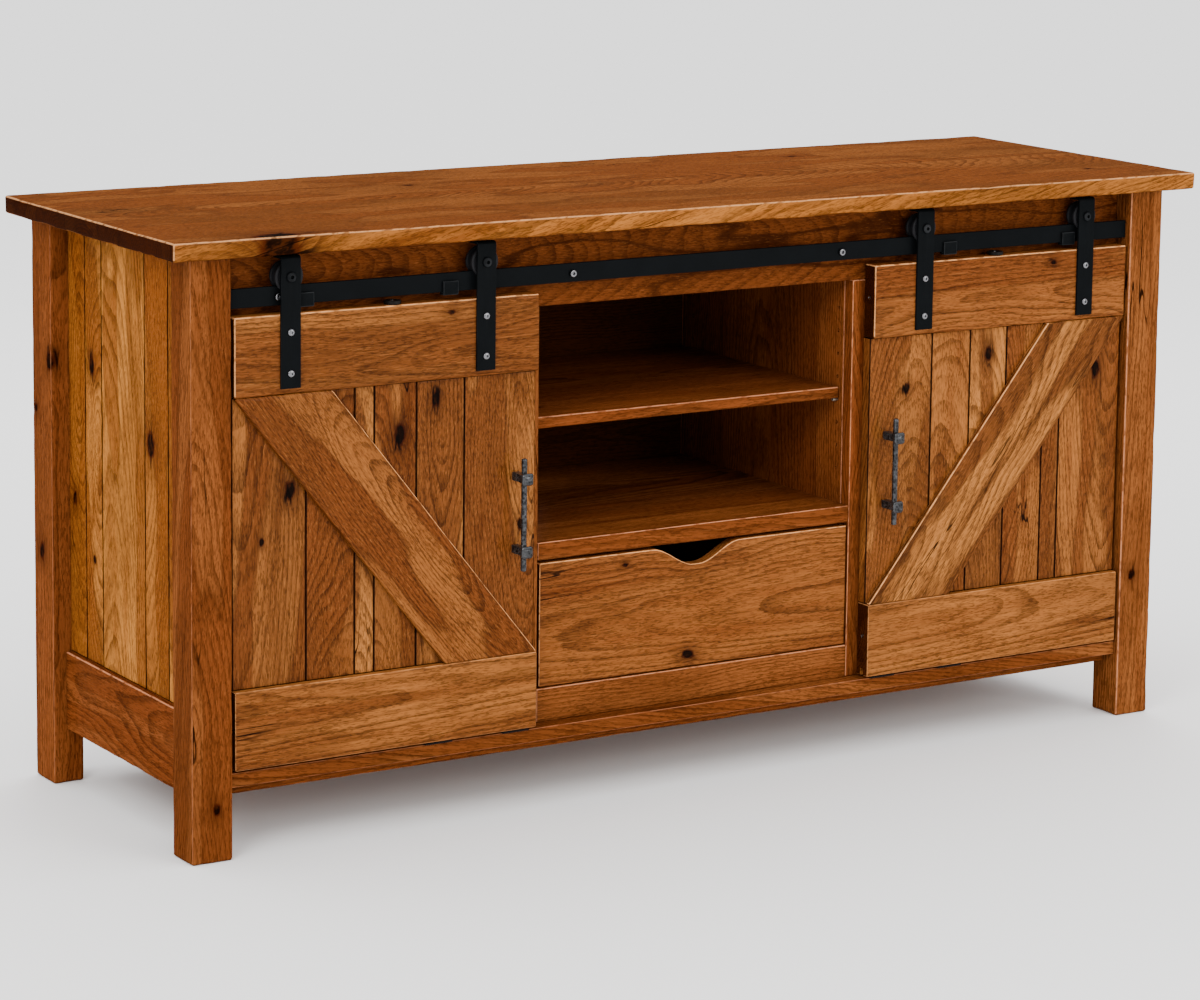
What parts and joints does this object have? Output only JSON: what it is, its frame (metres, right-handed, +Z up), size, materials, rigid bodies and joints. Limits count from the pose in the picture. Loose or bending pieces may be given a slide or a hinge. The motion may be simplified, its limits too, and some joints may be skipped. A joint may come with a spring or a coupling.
{
  "type": "tv stand",
  "caption": "Rustic plank media cabinet with an overhanging top, two braced doors sliding on a flat steel rail, an open centre bay with shelves and a drawer with a finger scoop.",
  "frame": {"origin": "on the floor, under the centre of the whole cabinet's width and depth", "axes": "+X to the right as seen from the front, +Y to the back, +Z up; the doors and the drawer face -Y"},
  "size_m": [1.6, 0.518, 0.79],
  "materials": {
    "top_wood": "satin lacquered knotty hardwood, reddish brown",
    "frame_wood": "satin lacquered knotty hardwood, mid brown",
    "side_wood": "satin lacquered knotty hardwood, honey",
    "door_wood": "satin lacquered knotty hardwood, amber",
    "inside_wood": "satin lacquered veneered plywood",
    "drawer_box_wood": "clear lacquered pale hardwood and plywood",
    "black_steel": "matt black powder coat",
    "roller_plastic": "satin black moulded nylon",
    "guide_plastic": "matt black moulded nylon",
    "screw_steel": "dark polished screw steel",
    "slide_steel": "zinc plated",
    "pull_iron": "hammered pewter iron"
  },
  "bodies": {
    "cabinet": {"top_panel": "top_wood", "post_front_left": "frame_wood", "post_front_right": "frame_wood", "post_back_left": "frame_wood", "post_back_right": "frame_wood", "side_planks_left": "side_wood", "side_planks_right": "side_wood", "side_rail_left": "frame_wood", "side_rail_right": "frame_wood", "side_top_cleats": "frame_wood", "header_rail": "frame_wood", "face_stile_left": "frame_wood", "face_stile_right": "frame_wood", "face_bottom_rail": "frame_wood", "fixed_shelf": "frame_wood", "bottom_panel": "frame_wood", "front_lower_rail": "frame_wood", "back_rails": "frame_wood", "partition_left": "frame_wood", "partition_right": "frame_wood", "back_panel": "inside_wood", "centre_shelf": "frame_wood", "side_shelves": "frame_wood", "shelf_pins": "slide_steel", "door_rail": "black_steel", "rail_bolts": "screw_steel", "rail_spacers": "black_steel", "rail_clips": "black_steel", "floor_guides": "guide_plastic", "drawer_runners": "slide_steel", "drawer_front": "door_wood", "drawer_side_left": "drawer_box_wood", "drawer_side_right": "drawer_box_wood", "drawer_back": "drawer_box_wood", "drawer_bottom": "drawer_box_wood", "drawer_slide_members": "slide_steel"},
    "left_door": {"left_door_planks": "door_wood", "left_door_top_board": "door_wood", "left_door_bottom_board": "door_wood", "left_door_brace": "door_wood", "left_door_hangers": "black_steel", "left_door_axle_bolts": "black_steel", "left_door_screws": "screw_steel", "left_door_anti_jump_disc": "guide_plastic", "left_door_pull_bar": "pull_iron", "left_door_pull_posts": "pull_iron"},
    "left_door_inner_wheel": {"left_door_inner_roller": "roller_plastic"},
    "left_door_outer_wheel": {"left_door_outer_roller": "roller_plastic"},
    "right_door": {"right_door_planks": "door_wood", "right_door_top_board": "door_wood", "right_door_bottom_board": "door_wood", "right_door_brace": "door_wood", "right_door_hangers": "black_steel", "right_door_axle_bolts": "black_steel", "right_door_screws": "screw_steel", "right_door_anti_jump_disc": "guide_plastic", "right_door_pull_bar": "pull_iron", "right_door_pull_posts": "pull_iron"},
    "right_door_inner_wheel": {"right_door_inner_roller": "roller_plastic"},
    "right_door_outer_wheel": {"right_door_outer_roller": "roller_plastic"}
  },
  "joints": [
    {"name": "left_door_slide", "type": "slide", "parent": "cabinet", "child": "left_door", "axis": [1, 0, 0], "range_m": [0, 0.263]},
    {"name": "left_door_inner_wheel_spin", "type": "hinge", "parent": "left_door", "child": "left_door_inner_wheel", "pos_m": [-0.3473, -0.2178, 0.734], "axis": [0, 1, 0], "continuous": true},
    {"name": "left_door_outer_wheel_spin", "type": "hinge", "parent": "left_door", "child": "left_door_outer_wheel", "pos_m": [-0.627, -0.2178, 0.734], "axis": [0, 1, 0], "continuous": true},
    {"name": "right_door_slide", "type": "slide", "parent": "cabinet", "child": "right_door", "axis": [-1, 0, 0], "range_m": [0, 0.263]},
    {"name": "right_door_inner_wheel_spin", "type": "hinge", "parent": "right_door", "child": "right_door_inner_wheel", "pos_m": [0.3473, -0.2178, 0.734], "axis": [0, 1, 0], "continuous": true},
    {"name": "right_door_outer_wheel_spin", "type": "hinge", "parent": "right_door", "child": "right_door_outer_wheel", "pos_m": [0.627, -0.2178, 0.734], "axis": [0, 1, 0], "continuous": true}
  ],
  "couplings": [
    {"joint": "left_door_inner_wheel_spin", "follows": "left_door_slide", "rad_per_m": 86.957},
    {"joint": "left_door_outer_wheel_spin", "follows": "left_door_slide", "rad_per_m": 86.957},
    {"joint": "right_door_inner_wheel_spin", "follows": "right_door_slide", "rad_per_m": -86.957},
    {"joint": "right_door_outer_wheel_spin", "follows": "right_door_slide", "rad_per_m": -86.957}
  ]
}
